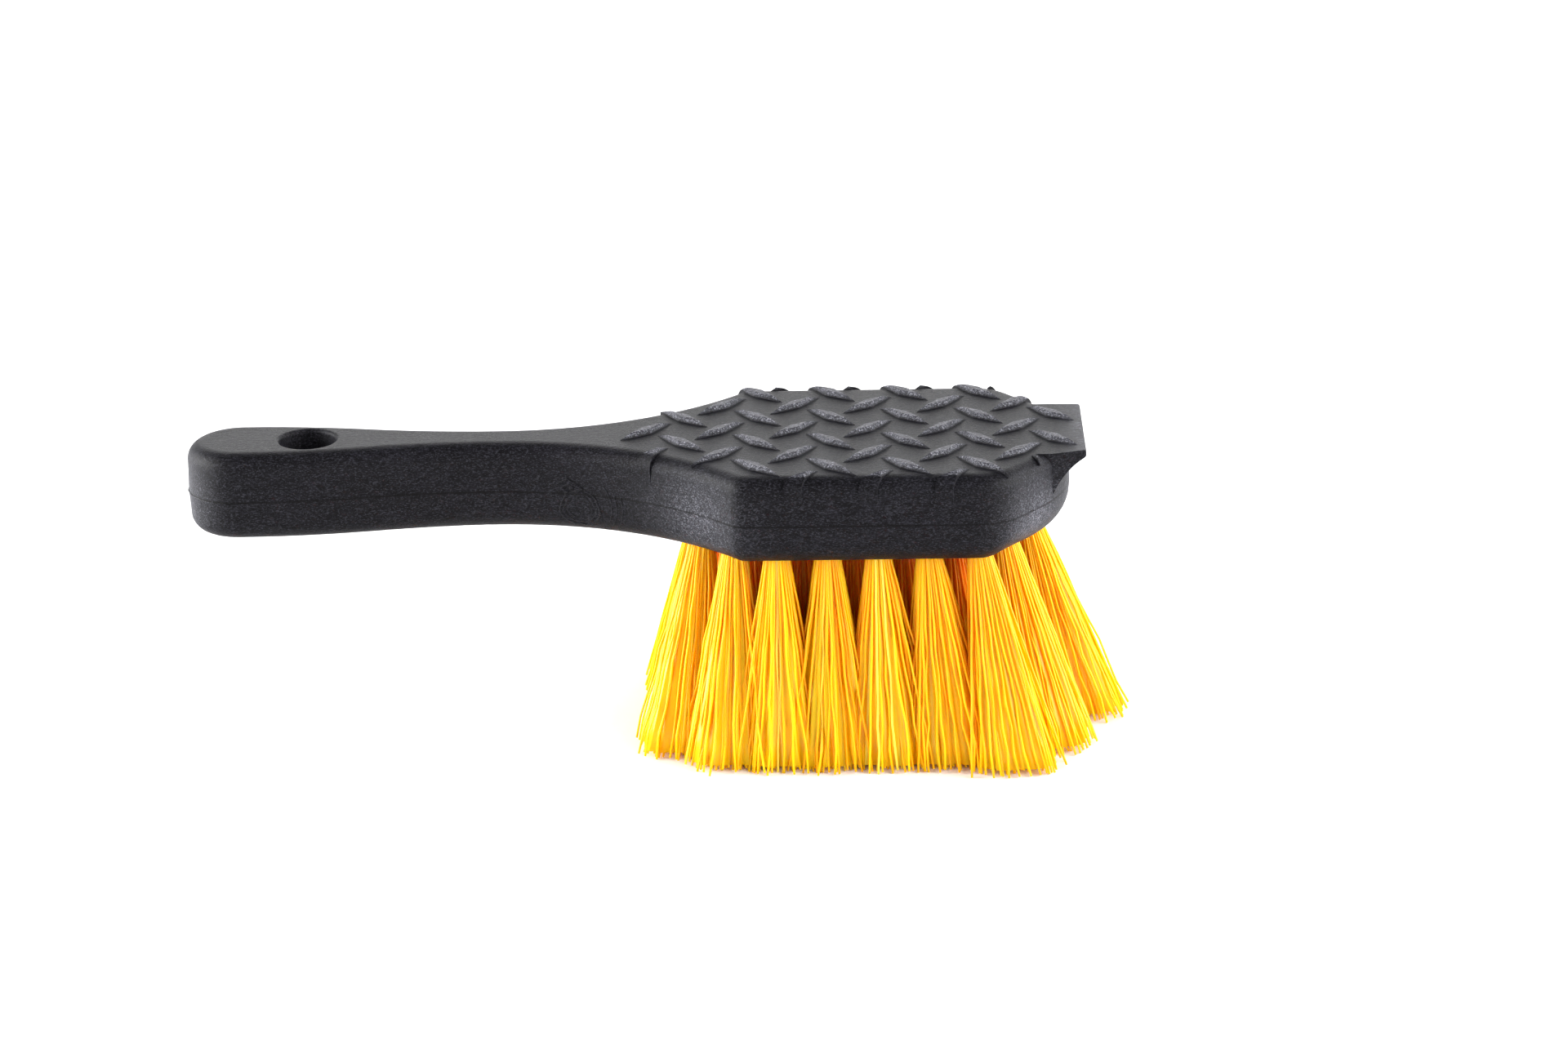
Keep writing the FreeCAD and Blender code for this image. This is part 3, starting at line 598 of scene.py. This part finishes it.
def add_math(tree, operation, a, b):
    """A Math node's value of two sockets or numbers."""
    node = tree.nodes.new("ShaderNodeMath")
    node.operation = operation
    for socket, value in zip(node.inputs, (a, b)):
        if isinstance(value, (int, float)):
            socket.default_value = value
        else:
            tree.links.new(value, socket)
    return node.outputs["Value"]


def mix_colours(tree, factor, a, b, blend="MIX"):
    """Colours a and b mixed by a factor, each a socket or a fixed colour."""
    node = tree.nodes.new("ShaderNodeMix")
    node.data_type = "RGBA"
    node.blend_type = blend
    for name, value in (("Factor", factor), ("A", a), ("B", b)):
        named = [s for s in node.inputs if s.name == name]
        socket = next(s for s in named if name == "Factor" or s.type == "RGBA")
        if isinstance(value, (int, float)):
            socket.default_value = value
        elif isinstance(value, tuple):
            socket.default_value = (*value, 1)
        else:
            tree.links.new(value, socket)
    return next(s for s in node.outputs if s.type == "RGBA")


def add_bump(tree, height, shader, distance, under=None):
    """A bump from a height socket, on top of another bump's normal if one is given."""
    bump = tree.nodes.new("ShaderNodeBump")
    bump.inputs["Strength"].default_value = 1.0
    bump.inputs["Distance"].default_value = distance
    tree.links.new(height, bump.inputs["Height"])
    if under is not None:
        tree.links.new(under, bump.inputs["Normal"])
    tree.links.new(bump.outputs["Normal"], shader.inputs["Normal"])
    return bump.outputs["Normal"]


def add_range(tree, value, low, high, top=1.0):
    """Nothing under the low value, rising evenly to the top at the high one."""
    node = tree.nodes.new("ShaderNodeMapRange")
    node.inputs["From Min"].default_value = low
    node.inputs["From Max"].default_value = high
    node.inputs["To Max"].default_value = top
    tree.links.new(value, node.inputs["Value"])
    return node.outputs["Result"]


def add_roughness(tree, shader, noise, change, least):
    """Roughness that follows a noise, upwards from its least value."""
    rough = add_math(tree, "MULTIPLY_ADD", noise, change)
    rough.node.inputs[2].default_value = least
    tree.links.new(rough, shader.inputs["Roughness"])


def add_blend(tree, coordinates, middle, reach):
    """One at a place and fading to nothing at a distance given for each axis."""
    mapping = tree.nodes.new("ShaderNodeMapping")
    scale = [1 / length for length in reach]
    mapping.inputs["Scale"].default_value = scale
    mapping.inputs["Location"].default_value = [-c * k for c, k in zip(middle, scale)]
    tree.links.new(coordinates, mapping.inputs["Vector"])
    ball = tree.nodes.new("ShaderNodeTexGradient")
    ball.gradient_type = "QUADRATIC_SPHERE"
    tree.links.new(mapping.outputs["Vector"], ball.inputs["Vector"])
    return ball.outputs["Fac"]


def add_seam_shade(tree, height, streaks):
    """How dark the painted shade in the crease above the parting flash is, broken up by the streaks."""
    line = add_ramp(tree, add_range(tree, height, *SEAM_SHADE_HEIGHTS), SEAM_SHADE_PROFILE)
    broken = add_ramp(tree, streaks, [(0.3, 1.0), (0.7, 0.5)])
    return add_math(tree, "MULTIPLY", line, broken)


def add_painted_light(tree, coordinates, height, streaks):
    """How pale the skin is: painted light on the flare's flanks, the handle's end, the nose and the
    tread's bars, broken up into streaks.
    """
    places = 0.0
    for middle, reach in PAINTED_LIGHT_PLACES:
        places = add_math(tree, "ADD", places, add_blend(tree, coordinates, middle, reach))
    # Painted highlight on the tread's bars, where the side lamps catch their facets.
    places = add_math(tree, "ADD", places, add_range(tree, height, *BAR_LIGHT_HEIGHTS, BAR_LIGHT_SHARE))
    share = add_math(tree, "MULTIPLY", places, add_math(tree, "ADD", streaks, PAINTED_LIGHT_EVEN))
    share.node.use_clamp = True
    return share


def foam_plastic():
    """Black structural foam: grey splay streaked along the flow, fine specks, a faint pitted skin, painted
    light on its lit sides and bars, and a painted shade line above the flash.
    """
    material, tree, shader = new_material("foam_plastic")
    coordinates = tree.nodes.new("ShaderNodeTexCoord").outputs["Object"]
    streaks = add_noise(tree, coordinates, **STREAKS)
    fibres = add_noise(tree, coordinates, **FIBRES)
    clouds = add_noise(tree, coordinates, **CLOUDS)
    streak_grey = add_ramp(tree, streaks, [(0.42, 0.0), (0.64, 1.0)])
    fibre_grey = add_ramp(tree, fibres, [(0.50, 0.0), (0.68, 1.0)])
    cloud_grey = add_ramp(tree, clouds, [(0.35, 0.25), (0.7, 1.0)])
    ground = mix_colours(tree, add_math(tree, "MULTIPLY", streak_grey, cloud_grey), *GROUND_COLOURS)
    body = mix_colours(tree, add_math(tree, "MULTIPLY", fibre_grey, SPECK_SHARE), ground, SPECK_COLOUR)
    pale = mix_colours(tree, add_math(tree, "MULTIPLY", fibre_grey, PALE_SHARE), *PAINTED_LIGHT_COLOURS)
    place = tree.nodes.new("ShaderNodeSeparateXYZ")
    tree.links.new(coordinates, place.inputs["Vector"])
    height = place.outputs["Z"]
    # Painted light: the sides that the lamps catch, and the tread's bars, are painted paler.
    colour = mix_colours(tree, add_painted_light(tree, coordinates, height, streak_grey), body, pale)
    # Painted shade: a dark line in the crease just above the parting flash.
    colour = mix_colours(tree, add_seam_shade(tree, height, streaks), colour, SEAM_SHADE_COLOUR)
    tree.links.new(colour, shader.inputs["Base Color"])
    add_roughness(tree, shader, fibres, change=0.7, least=0.12)
    shader.inputs["Specular IOR Level"].default_value = 0.1
    streak_bump = add_bump(tree, streaks, shader, STREAK_BUMP)
    add_bump(tree, fibres, shader, FIBRE_BUMP, under=streak_bump)
    return material


def bristle_plastic():
    """Yellow polypropylene filament, translucent, each one a little lighter or deeper than the next, with
    painted shade deep among the tufts.
    """
    material, tree, shader = new_material("bristle_filament")
    tint = tree.nodes.new("ShaderNodeAttribute")
    tint.attribute_name = "tint"
    colour = add_ramp(tree, tint.outputs["Fac"], TINT_COLOURS)
    deep = tree.nodes.new("ShaderNodeAttribute")
    deep.attribute_name = "deep"
    # Painted shade among the tufts, as strong as the deep attribute.
    deep_shade_colour = mix_colours(tree, 1.0, colour, DEEP_SHADE_TINT, "MULTIPLY")
    colour = mix_colours(tree, deep.outputs["Fac"], colour, deep_shade_colour)
    tree.links.new(colour, shader.inputs["Base Color"])
    shader.inputs["Roughness"].default_value = 0.3
    through = tree.nodes.new("ShaderNodeBsdfTranslucent")
    tree.links.new(mix_colours(tree, 1.0, colour, THROUGH_TINT, "MULTIPLY"), through.inputs["Color"])
    mix = tree.nodes.new("ShaderNodeMixShader")
    mix.inputs["Fac"].default_value = THROUGH_SHARE
    tree.links.new(shader.outputs["BSDF"], mix.inputs[1])
    tree.links.new(through.outputs["BSDF"], mix.inputs[2])
    tree.links.new(mix.outputs["Shader"], tree.nodes["Material Output"].inputs["Surface"])
    return material


def staple_steel():
    """Tinned flat wire with drawing lines along it."""
    material, tree, shader = new_material("staple_steel")
    coordinates = tree.nodes.new("ShaderNodeTexCoord").outputs["Object"]
    lines = add_noise(tree, coordinates, scale=6000, stretch=(1, 0.05, 1), detail=2, roughness=0.5)
    colour = add_ramp(tree, lines, [(0.3, (0.45, 0.45, 0.44)), (0.7, (0.66, 0.66, 0.65))])
    tree.links.new(colour, shader.inputs["Base Color"])
    shader.inputs["Metallic"].default_value = 1.0
    add_roughness(tree, shader, lines, change=0.2, least=0.25)
    return material


def floor_paint():
    """Plain pale floor with a barely visible unevenness."""
    material, tree, shader = new_material("floor_white")
    coordinates = tree.nodes.new("ShaderNodeTexCoord").outputs["Object"]
    patches = add_noise(tree, coordinates, scale=3, detail=2, roughness=0.5)
    colour = add_ramp(tree, patches, [(0.0, (0.79, 0.79, 0.795)), (1.0, (0.81, 0.81, 0.815))])
    tree.links.new(colour, shader.inputs["Base Color"])
    shader.inputs["Roughness"].default_value = 0.9
    shader.inputs["Specular IOR Level"].default_value = 0.1
    return material


# --- Stage ----------------------------------------------------------------------------------------

FLOOR_RADIUS = 12
FLOOR_CORNERS = 64
WORLD_STRENGTH = 0.2
LIT_POINT = (0.03, 0, 0.04)
# Each light's name and place, its width and height in metres and its power in watts.
LIGHTS = [
    ("top_light", (0.1, 0.2, 1.5), 1.6, 1.2, 2),
    ("back_light", (0.1, 1.6, 0.6), 2.0, 0.9, 22),
    ("right_light", (1.35, 0, 0.5), 1.4, 1.0, 46),
    ("right_front_light", (1.0, -0.9, 0.5), 1.0, 1.0, 18),
    ("left_light", (-1.35, 0, 0.3), 1.4, 0.8, 86),
    ("left_front_light", (-1.0, -0.9, 0.5), 1.0, 1.0, 4),
]
CAMERA_AIM = (0.030603, -0.007759, 0.052434)
SENSOR_WIDTH = 36                      # in millimetres, like the lens
LIGHT_BOUNCES = 24                     # enough to carry light into the bristles


def make_floor():
    """A large round floor under the bristles."""
    angle = [2 * math.pi * k / FLOOR_CORNERS for k in range(FLOOR_CORNERS)]
    rim = [(FLOOR_RADIUS * math.cos(a), FLOOR_RADIUS * math.sin(a), 0) for a in angle]
    floor = add_mesh("floor", rim, [tuple(range(FLOOR_CORNERS))], floor_paint(), smooth=False)


def make_light(name, place, width, height, power):
    """A soft rectangular light at a place, pointing at the brush and out of the camera's sight."""
    light = bpy.data.lights.new(name, "AREA")
    light.shape = "RECTANGLE"
    light.size = width
    light.size_y = height
    light.energy = power
    holder = bpy.data.objects.new(name, light)
    holder.location = place
    holder.rotation_mode = "QUATERNION"
    holder.rotation_quaternion = (Vector(LIT_POINT) - Vector(place)).to_track_quat("-Z", "Y")
    holder.visible_camera = False
    bpy.context.scene.collection.objects.link(holder)


def make_camera(aim, distance, yaw, elevation, roll, lens):
    """The camera, looking at a point from a distance along a direction given in degrees."""
    yaw, elevation, roll = map(math.radians, (yaw, elevation, roll))
    level_share = math.cos(elevation)
    ahead = Vector((math.sin(yaw) * level_share, math.cos(yaw) * level_share, -math.sin(elevation)))
    level = Vector((math.cos(yaw), -math.sin(yaw), 0))
    upright = level.cross(ahead)
    right = level * math.cos(roll) + upright * math.sin(roll)
    up = right.cross(ahead)
    camera = bpy.data.cameras.new("camera")
    camera.lens = lens
    camera.sensor_width = SENSOR_WIDTH
    camera.clip_start = 0.01
    camera.clip_end = 100
    holder = bpy.data.objects.new("camera", camera)
    turn = Matrix((right, up, -ahead)).transposed()
    holder.matrix_world = Matrix.Translation(Vector(aim) - ahead * distance) @ turn.to_4x4()
    bpy.context.scene.collection.objects.link(holder)
    bpy.context.scene.camera = holder


def make_world(strength):
    """Dim even light from all round, with a white backdrop in sight."""
    world = bpy.data.worlds.new("studio")
    world.use_nodes = True
    tree = world.node_tree
    fill = tree.nodes["Background"]
    fill.inputs["Color"].default_value = (1, 1, 1, 1)
    fill.inputs["Strength"].default_value = strength
    backdrop = tree.nodes.new("ShaderNodeBackground")
    backdrop.inputs["Color"].default_value = (1, 1, 1, 1)
    seen = tree.nodes.new("ShaderNodeLightPath").outputs["Is Camera Ray"]
    mix = tree.nodes.new("ShaderNodeMixShader")
    tree.links.new(seen, mix.inputs["Fac"])
    tree.links.new(fill.outputs["Background"], mix.inputs[1])
    tree.links.new(backdrop.outputs["Background"], mix.inputs[2])
    tree.links.new(mix.outputs["Shader"], tree.nodes["World Output"].inputs["Surface"])
    bpy.context.scene.world = world


def make_stage():
    """Floor, light and camera."""
    make_floor()
    make_world(WORLD_STRENGTH)
    for light in LIGHTS:
        make_light(*light)
    make_camera(CAMERA_AIM, distance=1.079, yaw=-1.2, elevation=20.35, roll=-1.2, lens=103.1)
    scene = bpy.context.scene
    scene.view_settings.view_transform = "Standard"
    scene.cycles.max_bounces = LIGHT_BOUNCES
    scene.cycles.diffuse_bounces = LIGHT_BOUNCES


# --- The brush ------------------------------------------------------------------------------------


def dress(node, material):
    """Gives a CAD node a new material."""
    slots = frame["nodes"][node].data.materials
    slots.clear()
    slots.append(material)


def make_brush():
    """Materials of the CAD nodes, and the pieces that stand for or ride on them."""
    foam = foam_plastic()
    dress("brush_block", foam)
    make_flash(foam)
    make_gate(foam)
    steel = staple_steel()
    for node in frame["nodes"]:
        if node.startswith("staples_"):
            dress(node, steel)
    filament = bristle_plastic()
    for number, joint in enumerate(frame["joints"]):
        make_tuft(joint, number, filament)


make_stage()
make_brush()
